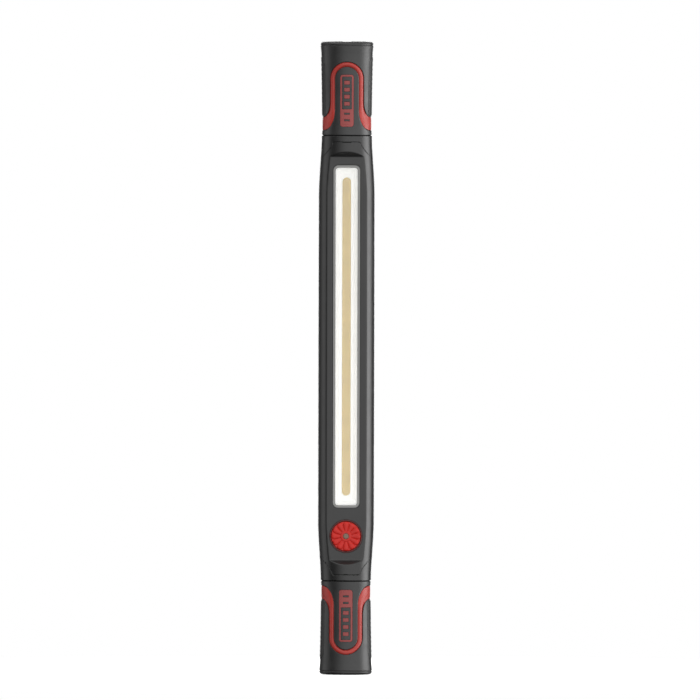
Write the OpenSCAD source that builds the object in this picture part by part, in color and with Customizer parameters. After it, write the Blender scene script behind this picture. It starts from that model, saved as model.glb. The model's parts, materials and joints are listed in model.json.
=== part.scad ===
// Handheld LED work light: a round bar with a long window, and a swivelling grip at each end.
// Millimetres. The lamp stands along +Z on its bottom end face, and its window faces -Y.

/* [Overall] */
// Length from end face to end face
total_len = 405; // [395:1:415]
// Length of each grip, from its end face to the middle of its seam
grip_len = 60; // [60:1:62]
// Gap at the seam between a grip and the body
seam_gap = 0.6; // [0.5:0.1:0.8]

/* [Body shells] */
// Radius of the body at its ends
body_end_r = 16.1; // [16:0.1:16.4]
// Radius of the body at its middle
body_mid_r = 18; // [17.8:0.1:18.6]
// Wall of the two shells
wall = 2.2; // [2:0.1:2.4]
// Distance of the flat front panel from the axis
facet_y = 12.7; // [12.5:0.1:12.9]
// Distance of the flat panel's ends from the seams
facet_end = 13.5; // [13:0.5:15]

/* [Window] */
// Width of the window bezel
window_w = 17.1; // [16.5:0.1:17.5]
// Length of the window bezel
window_len = 219; // [214:1:219]
// Distance of the window's top end from the top seam
window_top = 19.1; // [19:0.1:20]
// Visible width of the bezel's face
bezel_face = 1.5; // [1.2:0.1:1.8]
// Width of the light-emitting strip
strip_w = 5.4; // [4:0.1:6]
// Length of the light-emitting strip
strip_len = 203.4; // [195:0.1:204]

/* [Button] */
// Distance of the button's middle from the bottom seam
button_up = 28.7; // [28:0.1:29.5]
// Radius of the button's cap
button_r = 9.5; // [9.2:0.1:9.5]
// Radius of the seal round the button
seal_r = 10.5; // [10.3:0.1:10.7]
// Number of petals on the cap
petals = 12; // [8:1:18]
// Travel of the button
button_travel = 0.8; // [0.4:0.1:0.8]

/* [Grips] */
// Radius of the rubber bumper at the end
bumper_r = 16.9; // [16.8:0.1:17.3]
// Height of the bumper
bumper_h = 7.2; // [6.8:0.1:7.2]
// Radius of the grip beside the bumper
grip_end_r = 16.7; // [16.5:0.1:16.8]
// Radius of the grip's waist
grip_waist_r = 15.8; // [15.8:0.1:16.2]
// Thickness of the rubber over the hard core
rubber = 1.3; // [1.1:0.1:1.4]
// Width of the coloured band that shows between the rubber areas
band_w = 3.1; // [2:0.1:3.2]

/* [Hooks] */
// Radius of the hook's wire
wire_r = 1.6; // [1.4:0.1:1.6]
// Radius of the hook's bend, at the middle of the wire
hook_r = 6.9; // [6:0.1:7]
// Distance from the pivot to the middle of the hook's bend
hook_reach = 30; // [28:1:30]
// Angle that the hook's bend turns through
hook_arc = 245; // [200:5:285]

/* [Hidden] */

eps = 0.01;
fine = 96;           // facets of the preview of large rounds
low_seam = grip_len;
high_seam = total_len - grip_len;
body_len = high_seam - low_seam;
body_z0 = low_seam + seam_gap / 2;
body_z1 = high_seam - seam_gap / 2;
body_flare = 40;     // length over which the radius grows
bulge = 0.1;         // extra radius at mid length
parting_y = 0.6;     // the shells meet just behind the widest line
tab_end = 4.1;       // from each seam to the front cover's end
tab_depth = 13.4;    // depth at which the parting line leaves the cover's end
tab_run = 10.9;      // length over which it curves back to the side
step_slope = 0.8;    // run over rise of the sloping steps at the panel's ends
facet_z0 = low_seam + facet_end;
facet_z1 = high_seam - facet_end;
inner_y = facet_y - wall;

window_z = high_seam - window_top - window_len / 2;
lens_w = window_w - 2 * bezel_face;
lens_len = window_len - 2 * bezel_face - 0.2;
tray_y = inner_y - 1;        // front of the tray's wide part
board_y = tray_y - 1.2;      // front of the light board
sink_y = board_y - 1.2;      // front of the heat sink
sink_t = 2;

button_z = low_seam + button_up;
hole_r = button_r + 0.25;
pcb_y = 5;                   // front of the driver board, from the axis
pcb_t = 1.2;
switch_drop = 5.5;           // the switch sits below the button's middle
plunger_y = 9.9;             // front of the switch plunger
post_x = 7.2;                // posts that the driver board is screwed to
post_z = [low_seam + 11.5, low_seam + 41.6];
led_screw_x = 6;
led_screw_z = 104;           // either side of the window's middle

cell_r = 9.1;
cell_len = 64.4;
cell_y = 4.6;
cell_z = [112, 178];
tab_t = 0.3;

screw_x = 12.1;
screw_z = [low_seam + 24, low_seam + 194, high_seam - 27];
boss_r = 2.4;

port_z = low_seam + 24;
port_floor = 15;             // floor of the port's recess, from the axis
port_hinge = [16.4, port_z + 7];

rubber_inset = 0.2;          // the rubber's surface, below the grip's outline
band_inset = 0.6;            // the coloured band's surface
badge_floor = 0.8;
core_r_gap = rubber + rubber_inset;
waist_h = 53;
core_bore = 12.6;
core_foot = 8.2;             // the core stands on the end cap at this height
cap_back = 9.5;              // the end cap ends in front of the hook's slot
hook_y = 11.5;               // the folded hook lies in this plane
pivot_h = 11;
pocket_floor = 9.6;
slot_half = 2.6;
spigot_r = 7.45;
end_screw_angles = [-90, 30, 150];

function smooth(t) = t <= 0 ? 0 : t >= 1 ? 1 : t * t * (3 - 2 * t);
function body_r(z) = let (s = min(z - low_seam, high_seam - z))
    body_end_r + (body_mid_r - bulge - body_end_r) * smooth((s + 1.5) / body_flare)
    + bulge * sin(180 * (z - low_seam) / body_len);
function grip_r(h) = h < waist_h
    ? grip_end_r - (grip_end_r - grip_waist_r) * pow(max(0, h - bumper_h) / (waist_h - bumper_h), 0.8)
    : grip_waist_r + (body_end_r - grip_waist_r) * smooth((h - waist_h) / (grip_len - waist_h));

body_levels = concat([for (i = [0:10]) body_z0 + i * body_flare / 10],
    [for (i = [1:3]) body_z0 + i * (body_z1 - body_z0) / 4],
    [for (i = [10:-1:0]) body_z1 - i * body_flare / 10]);
grip_top = grip_len - seam_gap / 2;
grip_levels = concat([for (i = [0:5]) bumper_h + i * (waist_h - bumper_h) / 5],
    [for (i = [1:3]) waist_h + i * (grip_top - waist_h) / 3]);

// --- placing ---

module along_x(x0, x1) translate([x0, 0, 0]) rotate([90, 0, 90]) linear_extrude(x1 - x0) children();
module along_y(y0, y1) translate([0, y1, 0]) rotate([90, 0, 0]) linear_extrude(y1 - y0) children();
module rod_y(x, z, y0, y1, r) translate([x, y0, z]) rotate([-90, 0, 0]) cylinder(h = y1 - y0, r = r, $fn = 48);
module block(x, y, z) translate([x[0], y[0], z[0]]) cube([x[1] - x[0], y[1] - y[0], z[1] - z[0]]);
module at_grip(top) {
    if (top) translate([0, 0, total_len]) rotate([0, 180, 0]) children();
    else children();
}

// a rectangle with round corners, centred
module round_rect(w, l, r) {
    square([w - 2 * r, l], center = true);
    square([w, l - 2 * r], center = true);
    for (x = [-1, 1], y = [-1, 1]) translate([x * (w / 2 - r), y * (l / 2 - r)]) circle(r, $fn = 32);
}

// a straight wire from a to b
module wire(a, b, r) {
    d = b - a;
    translate(a) rotate([0, acos(d[2] / norm(d)), atan2(d[1], d[0])]) cylinder(h = norm(d), r = r, $fn = 16);
}

// a screw along +Y: the head's outer face is at y0, the tip at y1 (either way)
module screw_y(x, z, y_head, y_neck, y_tip, head_r, shank_r) difference() {
    union() {
        rod_y(x, z, min(y_head, y_neck), max(y_head, y_neck), head_r);
        rod_y(x, z, min(y_neck, y_tip), max(y_neck, y_tip), shank_r);
    }
    translate([x, y_head, z]) rotate([90, 0, 0]) cylinder(h = 1.4, r = head_r * 0.5, center = true, $fn = 6);
}

// --- body shells ---

module body_form(inset, extend = 0) rotate_extrude($fn = fine) polygon(concat(
    [[0, body_z0 - extend]],
    [for (z = body_levels) [body_r(z) - inset, z == body_z0 ? z - extend : z == body_z1 ? z + extend : z]],
    [[0, body_z1 + extend]]));

// everything in front of the flat panel and its sloping steps
module panel_cut(inset) {
    p = facet_y - inset;
    far = 30;
    along_x(-20, 20) polygon([
        [-p, facet_z0 - inset / 2], [-p, facet_z1 + inset / 2],
        [-far, facet_z1 + inset / 2 + (far - p) * step_slope],
        [-far, facet_z0 - inset / 2 - (far - p) * step_slope]]);
}

module body_inside(inset) difference() {
    body_form(inset, 1);
    panel_cut(inset);
}

module body_shell() difference() {
    body_form(0);
    panel_cut(0);
    body_inside(wall);
}

// the space that the front cover takes: its ends curve back from the tab to the sides
module cover_zone() {
    reach = tab_depth + parting_y;
    corner = [for (t = [90:-10:0]) [parting_y - reach * sin(t), tab_end + tab_run * cos(t)]];
    n = len(corner);
    along_x(-20, 20) polygon(concat(
        [[-30, low_seam + tab_end]],
        [for (p = corner) [p[0], low_seam + p[1]]],
        [for (i = [n - 1:-1:0]) [corner[i][0], high_seam - corner[i][1]]],
        [[-30, high_seam - tab_end]]));
}

module front_cover() color("dimgray") {
    difference() {
        union() {
            intersection() { body_shell(); cover_zone(); }
            intersection() {
                union() {
                    for (x = [-1, 1], z = screw_z) rod_y(x * screw_x, z, -20, parting_y, boss_r);
                    for (x = [-1, 1], z = post_z) rod_y(x * post_x, z, -20, -pcb_y, 2.2);
                }
                body_inside(wall - 0.3);
            }
        }
        translate([0, 0, window_z]) along_y(-20, -8) round_rect(window_w, window_len, 3.4);
        rod_y(0, button_z, -20, -8, hole_r);
        rod_y(0, button_z, -20, -facet_y + 0.7, seal_r);
        for (x = [-1, 1], z = screw_z) rod_y(x * screw_x, z, -7, 5, 1.25);
        for (x = [-1, 1], z = post_z) rod_y(x * post_x, z, -10, 0, 1.05);
    }
}

module rear_shell() color("dimgray") {
    difference() {
        union() {
            difference() { body_shell(); cover_zone(); }
            intersection() {
                union() {
                    for (x = [-1, 1], z = screw_z) rod_y(x * screw_x, z, parting_y, 20, boss_r);
                    block([-9, 9], [12.6, 20], [port_z - 8.6, port_z + 10.2]);
                    for (x = [-1, 1]) rod_y(x * 6.6, port_z, 7.5, 14, 1.6);
                }
                body_inside(wall - 0.3);
            }
        }
        for (x = [-1, 1], z = screw_z) {
            rod_y(x * screw_x, z, 0, 20, 1.25);
            rod_y(x * screw_x, z, 8.4, 20, 2.15);
        }
        translate([0, 0, port_z + 0.8]) along_y(port_floor, 20) round_rect(14.6, 15.2, 1.5);
        translate([0, 0, port_z]) along_y(12, 20) round_rect(9.6, 3.8, 1.8);
    }
}

module case_screws() color("silver")
    for (x = [-1, 1], z = screw_z) screw_y(x * screw_x, z, 10.6, 8.4, -6, 2, 1.2);

// --- window and light source ---

module window_bezel() color("darkgray") translate([0, 0, window_z]) difference() {
    union() {
        along_y(-facet_y - 0.15, -inner_y + eps) round_rect(window_w, window_len, 3.4);
        along_y(-inner_y, -tray_y) round_rect(window_w + 2, window_len + 2, 2);
    }
    along_y(-20, -5) round_rect(lens_w, lens_len, 2);
}

module window_lens() color("aliceblue", 0.4) translate([0, 0, window_z])
    along_y(-facet_y + 0.3, -inner_y - 0.3) round_rect(lens_w, lens_len, 2);

module reflector_tray() color("white") translate([0, 0, window_z]) difference() {
    lip_y = inner_y + 0.3;
    union() {
        along_y(-lip_y, -tray_y + eps) round_rect(lens_w, lens_len, 2);
        along_y(-tray_y, -board_y) round_rect(window_w + 1.5, window_len + 1.5, 2);
    }
    linear_extrude(lens_len - 1.6, center = true)
        polygon([[-lens_w / 2 + 0.6, -lip_y - 1], [-strip_w / 2 - 1.4, -board_y - 0.5],
            [strip_w / 2 + 1.4, -board_y - 0.5], [lens_w / 2 - 0.6, -lip_y - 1]]);
    along_y(-20, 0) round_rect(strip_w + 0.2, strip_len + 0.2, strip_w / 2);
    led_screw_holes(1.05, -board_y - 0.8);
}

module led_screw_holes(r, y0) for (x = [-1, 1], z = [-1, 1]) rod_y(x * led_screw_x, z * led_screw_z, y0, 0, r);

module led_board() color("whitesmoke") translate([0, 0, window_z]) difference() {
    along_y(-board_y, -sink_y) square([16, window_len + 2], center = true);
    led_screw_holes(1.05, -20);
}

module led_strip() color("wheat") translate([0, 0, window_z])
    along_y(-board_y - 0.55, -board_y) round_rect(strip_w, strip_len, strip_w / 2 - eps);

module heat_sink() color("silver") translate([0, 0, window_z]) difference() {
    union() {
        along_y(-sink_y, -sink_y + sink_t) square([16, window_len - 4], center = true);
        for (x = [-1, 1]) translate([x * 7.2, -sink_y + sink_t + 0.4, 0])
            cube([1.2, 0.8 + eps, window_len - 4], center = true);
    }
    led_screw_holes(1.05, -20);
    for (z = [-1, 1]) translate([0, -sink_y + sink_t + 1, z * led_screw_z])
        cube([20, 2, 6], center = true);
}

module led_screws() color("silver") for (x = [-1, 1], z = [-1, 1])
    screw_y(x * led_screw_x, window_z + z * led_screw_z,
        -sink_y + sink_t + 1.2, -sink_y + sink_t, -board_y - 0.6, 1.7, 1);

// --- driver board, switch and button ---

module driver_board() color("darkgreen") difference() {
    block([-9.4, 9.4], [-pcb_y, -pcb_y + pcb_t], [low_seam + 6.6, low_seam + 44.6]);
    for (x = [-1, 1], z = post_z) rod_y(x * post_x, z, -20, 0, 1.05);
}

module board_screws() color("silver") for (x = [-1, 1], z = post_z)
    screw_y(x * post_x, z, -pcb_y + pcb_t + 1.3, -pcb_y + pcb_t, -9.4, 1.8, 1);

module driver_chips() color("black") {
    back = -pcb_y + pcb_t;
    for (c = [[-5.4, 20, 5, 4.4], [5.2, 19, 3, 5], [-5.2, 29, 2.9, 1.6], [5.4, 30, 4, 4]])
        block([c[0] - c[2] / 2, c[0] + c[2] / 2], [back, back + 1.1],
            [low_seam + c[1] - c[3] / 2, low_seam + c[1] + c[3] / 2]);
}

module driver_coil() color("saddlebrown") {
    back = -pcb_y + pcb_t;
    rod_y(0, low_seam + 38, back, back + 0.6, 4);
    rod_y(0, low_seam + 38, back + 0.5, back + 3, 3.3);
    rod_y(0, low_seam + 38, back + 2.9, back + 3.5, 4);
}

module switch_body() color("dimgray") difference() {
    z = button_z - switch_drop;
    block([-3, 3], [-pcb_y - 3.5, -pcb_y], [z - 3, z + 3]);
    rod_y(0, z, -20, -pcb_y - 0.8, 1.75);
}

module switch_plunger() color("black")
    rod_y(0, button_z - switch_drop, -plunger_y, -pcb_y - 1.8, 1.7);

module indicator_led() color("honeydew") {
    rod_y(0, button_z, -pcb_y - 0.8, -pcb_y, 1.9);
    rod_y(0, button_z, -pcb_y - 2, -pcb_y - 0.7, 1.5);
}

module power_button() color("firebrick") {
    face = facet_y + 1.1;
    difference() {
        union() {
            translate([0, -face, button_z]) rotate([-90, 0, 0]) rotate_extrude($fn = fine)
                polygon([[0, 0], [button_r - 1, 0.2], [button_r, 0.9],
                    [button_r, face - inner_y + 0.3], [0, face - inner_y + 0.3]]);
            rod_y(0, button_z, -inner_y + 0.2, -inner_y + 0.9, button_r + 0.6);
        }
        rod_y(0, button_z, -11.6, -5, button_r - 1.2);
        rod_y(0, button_z, -20, -5, 1.9);
        for (i = [0:petals - 1]) translate([0, -face - 0.35, button_z]) rotate([0, i * 360 / petals, 0])
            translate([0, 0, 3.4]) cylinder(h = button_r, r = 0.6, $fn = 24);
    }
    difference() {
        rod_y(0, button_z - switch_drop, -11.7, -plunger_y, 1.8);
        rod_y(0, button_z, -20, -5, 1.9);
    }
}

module button_light_pipe() color("rosybrown") {
    rod_y(0, button_z, -facet_y - 1.05, -9.6, 1.85);
    rod_y(0, button_z, -11.6, -11, 2.6);
}

module button_seal() color("maroon") difference() {
    rod_y(0, button_z, -facet_y - 0.35, -facet_y + 0.7, seal_r - 0.02);
    rod_y(0, button_z, -20, -5, hole_r);
}

// --- battery ---

module cell(z, tint) color(tint) {
    translate([0, cell_y, z]) cylinder(h = cell_len, r = cell_r, $fn = 64);
    translate([0, cell_y, z + cell_len - eps]) cylinder(h = 0.8, r = 2.8, $fn = 32);
}
module lower_cell() cell(cell_z[0], "teal");
module upper_cell() cell(cell_z[1], "teal");

module cell_cradle() color("black") difference() {
    z0 = cell_z[0] - 2.4;
    z1 = cell_z[1] + cell_len + 3.2;
    translate([0, cell_y, z0]) cylinder(h = z1 - z0, r = cell_r + 1.4, $fn = 64);
    translate([0, cell_y, z0 + 1.5]) cylinder(h = z1 - z0 - 3, r = cell_r + 0.15, $fn = 64);
    block([-20, 20], [-20, cell_y], [z0 - 1, z1 + 1]);
}

module cell_tabs() color("silver")
    for (z = [cell_z[0] - tab_t, cell_z[0] + cell_len + 0.8, cell_z[1] + cell_len + 0.8])
        block([-3, 3], [cell_y - 6, cell_y + 4], [z, z + tab_t]);

module battery_leads() color("crimson") {
    low = [-11.3, -2.5, low_seam + 44];
    high = [-11.3, -2.5, cell_z[1] + cell_len + 2];
    wire(low, high, 0.7);
    wire(high - [0, 0, 0.3], [-2, -0.5, high[2] - 0.2], 0.6);
    wire(low + [0, 0, 0.3], [-3.6, -3.1, low[2]], 0.6);
    wire([2, -0.3, cell_z[0] - tab_t - 0.2], [2, -3.1, low[2] - 1], 0.6);
}

module led_leads() color("black") for (x = [-3, 3])
    wire([x, -sink_y + 0.6, window_z - window_len / 2 + 0.6], [x, -pcb_y - 0.6, low_seam + 42], 0.6);

// --- charging port ---

module charge_board() color("darkgreen") difference() {
    block([-8, 8], [6.5, 7.5], [port_z - 7, port_z + 7]);
    for (x = [-1, 1]) rod_y(x * 6.6, port_z, 5, 9, 0.8);
}

module charge_leads() color("red") for (x = [-1, 1])
    wire([x * 5, -pcb_y + pcb_t, port_z + 1], [x * 5, 6.5, port_z + 1], 0.6);

module charge_socket() color("silver") {
    difference() {
        translate([0, 0, port_z]) along_y(7.5, 14.6) round_rect(8.94, 3.26, 1.6);
        translate([0, 0, port_z]) along_y(8.5, 20) round_rect(8.34, 2.66, 1.3);
    }
    block([-3.3, 3.3], [8.4, 13.6], [port_z - 0.35, port_z + 0.35]);
}

module port_cover() color("black") {
    difference() {
        intersection() {
            body_form(0.05);
            translate([0, 0, port_z - 0.5]) along_y(port_floor + 0.15, 20) round_rect(14, 11.8, 1.3);
        }
        translate([0, 20, port_z - 5.6]) cube([5, 12, 1.4], center = true);
    }
    translate([0, 0, port_z]) along_y(14.75, port_floor + 0.2) round_rect(7.6, 2, 0.9);
    translate([-5, port_hinge[0], port_hinge[1]]) rotate([0, 90, 0]) cylinder(h = 10, r = 0.8, $fn = 32);
    block([-5, 5], [16, 16.6], [port_z + 5, port_hinge[1]]);
}

// --- grips, drawn for the bottom end and turned round for the top ---

module grip_form(inset, h0, h1) intersection() {
    rotate_extrude($fn = fine) polygon(concat([[0, grip_levels[0]]],
        [for (h = grip_levels) [grip_r(h) - inset, h]], [[0, grip_top]]));
    translate([0, 0, h0]) cylinder(h = h1 - h0, r = 30);
}

// an arch from the seam towards the end: its legs stand half apart, and turn out to the sides
module arch(half, top, reach) {
    edge = 14.9;
    far = 20;
    wide = edge - half;
    tall = wide + 5.9;
    polygon(concat(
        [[far, grip_len + 1], [far, grip_len - reach], [edge, grip_len - reach]],
        [for (a = [75:-15:0]) [edge - wide * cos(a), grip_len - reach - tall * (1 - sin(a))]],
        [for (a = [0:10:180]) [half * cos(a), grip_len - top + half - half * sin(a)]],
        [for (a = [0:15:75]) [wide * cos(a) - edge, grip_len - reach - tall * (1 - sin(a))]],
        [[-edge, grip_len - reach], [-far, grip_len - reach], [-far, grip_len + 1]]));
}

// the collar's area: a slim tongue at the front, and a wide one behind that holds the hook
module collar_zone(more = 0) {
    along_y(-25, 0) arch(7.6 + more, 43.9 + more, 3.3 + more * 2.7);
    along_y(0, 25) arch(10.6 + more, 43.9 + more, 3.3 + more * 2.7);
}

module hook_pocket() {
    h = pivot_h + hook_reach;
    rod_y(0, h, pocket_floor, 25, hook_r + wire_r + 0.6);
    block([-slot_half, slot_half], [pocket_floor, 25], [-1, h]);
    translate([-slot_half, hook_y, pivot_h]) rotate([0, 90, 0]) cylinder(h = 2 * slot_half, r = 2.8, $fn = 32);
}

module grip_core(top) color("firebrick") at_grip(top) difference() {
    union() {
        grip_form(core_r_gap, core_foot, grip_top);
        intersection() {
            grip_form(band_inset, core_foot, grip_top);
            difference() { collar_zone(band_w); collar_zone(); }
        }
    }
    intersection() {
        translate([0, 0, 13.5]) cylinder(h = 39, r = core_bore, $fn = fine);
        block([-20, 20], [-20, 7.6], [0, 60]);
    }
    translate([0, 0, 52.4]) cylinder(h = 2.1, r = core_bore, $fn = fine);
    intersection() {
        cylinder(h = 14, r = 9.7, $fn = fine);
        block([-20, 20], [-20, 7.6], [0, 60]);
    }
    cylinder(h = grip_len, r = spigot_r + 0.05, $fn = fine);
    hook_pocket();
    translate([-6.1, hook_y, pivot_h]) rotate([0, 90, 0]) cylinder(h = 12.2, r = 1.25, $fn = 32);
    end_screw_holes(1.1, 13);
}

module end_screw_holes(r, h) for (a = end_screw_angles) rotate([0, 0, a]) translate([11.3, 0, -1])
    cylinder(h = h + 1, r = r, $fn = 32);

module rubber_layer() difference() {
    grip_form(rubber_inset, bumper_h, grip_top);
    grip_form(core_r_gap, 0, grip_len + 1);
    hook_pocket();
}

module grip_sleeve(top) color("black") at_grip(top) difference() {
    rubber_layer();
    collar_zone(band_w);
}

module badge_zone() translate([0, grip_len - 22.2]) children();

module grip_collar(top) color("black") at_grip(top) difference() {
    intersection() { rubber_layer(); collar_zone(); }
    badge_inlay(rubber_inset);
}

// a plain frame with a slotted block at the seam's end and a row of bars
module badge_marks() {
    difference() { round_rect(8.6, 33.2, 1.6); round_rect(6.2, 30.8, 0.6); }
    translate([0, 10.4]) difference() {
        square([6.4, 10], center = true);
        for (y = [-2.1, 2.1]) translate([0, y]) square([3.6, 1.2], center = true);
    }
    for (i = [0:3]) translate([0, 1.9 - i * 4.5]) square([3.6, 2.4], center = true);
}

// the badge, let into the front of the collar, inset below the grip's surface
module badge_inlay(inset) difference() {
    intersection() {
        grip_form(inset, 5, grip_len);
        along_y(-20, -5) badge_zone() badge_marks();
    }
    grip_form(badge_floor, 0, grip_len + 1);
}

module grip_badge(top) color("firebrick") at_grip(top) badge_inlay(rubber_inset);

module grip_pads(top) color("black") at_grip(top) difference() {
    intersection() {
        difference() { grip_form(-0.05, 9.2, 52); grip_form(rubber_inset, 0, 60); }
        union() for (x = [-1, 1]) along_x(min(x * 5, x * 20), max(x * 5, x * 20))
            translate([0, 34]) round_rect(16, 48, 5);
    }
    collar_zone(band_w + 0.4);
}

// a ring that fills the space behind the end cap too
module bumper(top) color("black") at_grip(top) difference() {
    corner = 2.2;
    union() {
        rotate_extrude($fn = fine) polygon(concat(
            [[13.4, 0]],
            [for (a = [-90:15:0]) [bumper_r - corner + corner * cos(a), corner + corner * sin(a)]],
            [[bumper_r, 3], [grip_end_r - rubber_inset, bumper_h], [13.4, bumper_h]]));
        intersection() {
            translate([0, 0, 0.5]) cylinder(h = bumper_h - 0.5, r = 13.5, $fn = fine);
            block([-20, 20], [cap_back, 20], [0, bumper_h]);
        }
    }
    hook_pocket();
}

module end_cap(top) color("dimgray") at_grip(top) difference() {
    intersection() {
        translate([0, 0, 0.5]) cylinder(h = core_foot - 0.5, r = 13.4, $fn = fine);
        block([-20, 20], [-20, cap_back], [0, core_foot]);
    }
    cylinder(h = 4.2, r = 8.05, $fn = fine);
    end_screw_holes(1.2, 20);
    end_screw_holes(1.8, 2.6);
}

module end_screws(top) color("silver") at_grip(top)
    for (a = end_screw_angles) rotate([0, 0, a]) translate([11.3, 0, 0]) {
        translate([0, 0, 1.1]) difference() {
            cylinder(h = 1.5, r = 1.7, $fn = 32);
            cylinder(h = 1.4, r = 0.8, $fn = 6, center = true);
        }
        translate([0, 0, 2.5]) cylinder(h = 9.5, r = 1, $fn = 24);
    }

module magnet(top) color("silver") at_grip(top) translate([0, 0, 0.7]) cylinder(h = 3.5, r = 8, $fn = 64);

module hook(top) color("silver") at_grip(top) {
    h = pivot_h + hook_reach;
    difference() {
        union() {
            translate([-2.3, hook_y, pivot_h]) rotate([0, 90, 0]) cylinder(h = 4.6, r = 2.3, $fn = 48);
            translate([0, hook_y, pivot_h + 1]) cylinder(h = hook_reach - hook_r - 0.6, r = wire_r, $fn = 32);
        }
        translate([-5, hook_y, pivot_h]) rotate([0, 90, 0]) cylinder(h = 10, r = 1.27, $fn = 48);
    }
    start = -92;
    translate([0, hook_y, h]) rotate([90, 0, 0]) rotate([0, 0, start])
        rotate_extrude(angle = hook_arc, $fn = 64) translate([hook_r, 0]) circle(wire_r, $fn = 32);
    translate([0, hook_y, h]) rotate([0, -start - hook_arc, 0]) translate([hook_r, 0, -0.3])
        cylinder(h = 1.2, r1 = wire_r - 0.05, r2 = 0.9, $fn = 32);
}

module hook_pin(top) color("silver") at_grip(top)
    translate([-6, hook_y, pivot_h]) rotate([0, 90, 0]) cylinder(h = 12, r = 1.22, $fn = 48);

// the swivel: a spigot on the body runs in the core's bore, behind a washer
module pivot(top) color("dimgray") at_grip(top) difference() {
    union() {
        translate([0, 0, grip_len + seam_gap / 2]) cylinder(h = 6, r = body_end_r - wall - 0.1, $fn = fine);
        translate([0, 0, 54.3]) cylinder(h = 7, r = spigot_r, $fn = fine);
    }
    translate([0, 0, 50]) cylinder(h = 20, r = 2.05, $fn = 48);
    translate([0, 0, grip_len - 1]) difference() {
        cylinder(h = 1.8, r = 12.6, $fn = fine);
        cylinder(h = 10, r = 9, $fn = fine, center = true);
    }
}

// runs between the pivot and the core, with a thin flange that fills the seam
module thrust_ring(top) color("dimgray") at_grip(top) translate([0, 0, grip_top + 0.05]) difference() {
    union() {
        cylinder(h = 1.05, r = 12.5, $fn = fine);
        cylinder(h = seam_gap - 0.1, r = 15.4, $fn = fine);
    }
    cylinder(h = 5, r = 9.05, $fn = fine, center = true);
}

module swivel_washer(top) color("silver") at_grip(top) translate([0, 0, 53.1]) difference() {
    cylinder(h = 1.2, r = 9.6, $fn = fine);
    cylinder(h = 5, r = 2.05, $fn = 48, center = true);
}

module swivel_screw(top) color("silver") at_grip(top) {
    difference() {
        translate([0, 0, 50]) cylinder(h = 3.1, r = 3.6, $fn = 48);
        translate([0, 0, 50]) cylinder(h = 3.2, r = 1.7, $fn = 6, center = true);
    }
    translate([0, 0, 53]) cylinder(h = 12, r = 2, $fn = 48);
}

front_cover();
rear_shell();
window_bezel();
window_lens();
reflector_tray();
led_board();
led_strip();
heat_sink();
led_screws();
driver_board();
driver_chips();
driver_coil();
board_screws();
switch_body();
switch_plunger();
power_button();
button_light_pipe();
button_seal();
indicator_led();
lower_cell();
upper_cell();
cell_cradle();
cell_tabs();
battery_leads();
led_leads();
charge_leads();
charge_board();
charge_socket();
port_cover();
case_screws();
pivot(false);  // bottom_pivot
thrust_ring(false);  // bottom_thrust_ring
swivel_washer(false);  // bottom_swivel_washer
swivel_screw(false);  // bottom_swivel_screw
grip_core(false);  // bottom_grip_core
grip_sleeve(false);  // bottom_grip_sleeve
grip_collar(false);  // bottom_grip_collar
grip_pads(false);  // bottom_grip_pads
grip_badge(false);  // bottom_grip_badge
bumper(false);  // bottom_bumper
end_cap(false);  // bottom_end_cap
end_screws(false);  // bottom_end_screws
magnet(false);  // bottom_magnet
hook(false);  // bottom_hook
hook_pin(false);  // bottom_hook_pin
pivot(true);  // top_pivot
thrust_ring(true);  // top_thrust_ring
swivel_washer(true);  // top_swivel_washer
swivel_screw(true);  // top_swivel_screw
grip_core(true);  // top_grip_core
grip_sleeve(true);  // top_grip_sleeve
grip_collar(true);  // top_grip_collar
grip_pads(true);  // top_grip_pads
grip_badge(true);  // top_grip_badge
bumper(true);  // top_bumper
end_cap(true);  // top_end_cap
end_screws(true);  // top_end_screws
magnet(true);  // top_magnet
hook(true);  // top_hook
hook_pin(true);  // top_hook_pin
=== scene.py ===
"""The looks of a handheld LED work light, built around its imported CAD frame.

Shapes are written as distance fields in millimetres, in the frame's own axes (+Z along the lamp, -Y the front).
field_mesh() turns a field into a closed mesh with normals from the field itself, so every edge has a true round.
"""
import json
import math

import bmesh
import bpy
import numpy as np
import openvdb as vdb
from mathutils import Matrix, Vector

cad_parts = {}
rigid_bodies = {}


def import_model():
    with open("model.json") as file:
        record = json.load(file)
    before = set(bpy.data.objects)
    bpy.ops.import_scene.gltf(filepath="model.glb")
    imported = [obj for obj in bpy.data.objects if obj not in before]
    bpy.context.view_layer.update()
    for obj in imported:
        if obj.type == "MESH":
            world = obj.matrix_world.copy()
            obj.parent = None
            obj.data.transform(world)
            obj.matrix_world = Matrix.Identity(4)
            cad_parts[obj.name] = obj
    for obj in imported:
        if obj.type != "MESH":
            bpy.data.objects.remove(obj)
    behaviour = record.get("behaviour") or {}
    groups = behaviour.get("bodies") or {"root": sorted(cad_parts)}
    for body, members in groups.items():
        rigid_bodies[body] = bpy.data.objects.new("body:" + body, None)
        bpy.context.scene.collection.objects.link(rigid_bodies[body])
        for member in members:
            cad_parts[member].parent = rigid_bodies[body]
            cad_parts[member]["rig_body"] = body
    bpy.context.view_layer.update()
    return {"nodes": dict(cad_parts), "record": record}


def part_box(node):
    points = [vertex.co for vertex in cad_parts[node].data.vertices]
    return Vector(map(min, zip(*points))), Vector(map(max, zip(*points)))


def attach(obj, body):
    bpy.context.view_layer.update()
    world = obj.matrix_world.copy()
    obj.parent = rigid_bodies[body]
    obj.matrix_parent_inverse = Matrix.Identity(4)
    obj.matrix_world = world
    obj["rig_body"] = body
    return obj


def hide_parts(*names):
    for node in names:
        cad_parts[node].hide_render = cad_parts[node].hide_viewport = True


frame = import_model()
MM = 0.001


def mm_box(node):
    low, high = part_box(node)
    return np.array(low) / MM, np.array(high) / MM


# ---------------------------------------------------------------- sizes, in mm

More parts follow.
